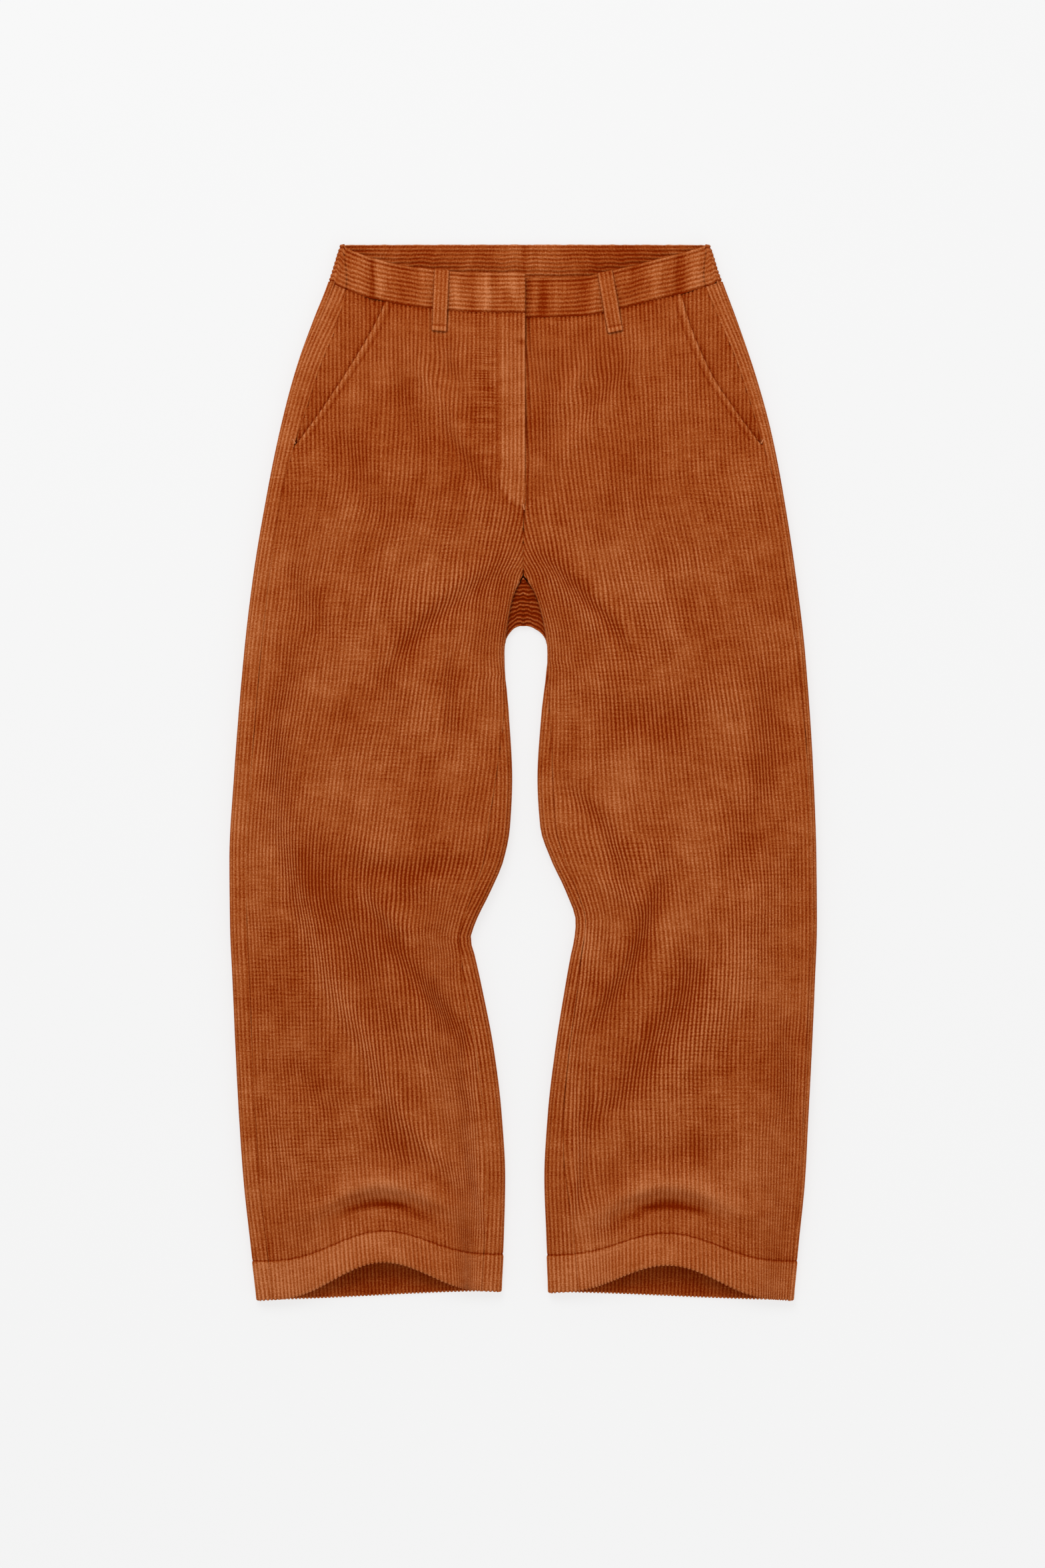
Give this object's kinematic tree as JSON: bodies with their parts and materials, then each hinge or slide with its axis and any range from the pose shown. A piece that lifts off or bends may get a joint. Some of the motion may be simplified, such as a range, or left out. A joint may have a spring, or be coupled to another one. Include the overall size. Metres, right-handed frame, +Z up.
{
  "type": "corduroy trousers",
  "caption": "Wide-wale corduroy trousers laid flat, front up, with curved barrel legs, slanted pockets, a waistband with belt loops and a concealed fly.",
  "frame": {"origin": "centre of the bounding box's underside, on the surface the trousers lie on", "axes": "+Z up from the surface, +Y from the hems to the waist, +X towards the wearer's left; right and left in names are the wearer's"},
  "size_m": [0.5286, 0.952, 0.0274],
  "materials": {
    "corduroy": "burnt orange corduroy, wide wales running down each panel, soft nap with lighter crests and darker grooves"
  },
  "bodies": {
    "root": {"front_right": "corduroy", "front_left": "corduroy", "back_right": "corduroy", "back_left": "corduroy", "pocket_facing_right": "corduroy", "pocket_facing_left": "corduroy", "waistband_front_right": "corduroy", "waistband_front_left": "corduroy", "waistband_back": "corduroy", "belt_loop_front_right": "corduroy", "belt_loop_front_left": "corduroy", "belt_loop_back_right": "corduroy", "belt_loop_back_centre": "corduroy", "belt_loop_back_left": "corduroy"}
  },
  "joints": []
}
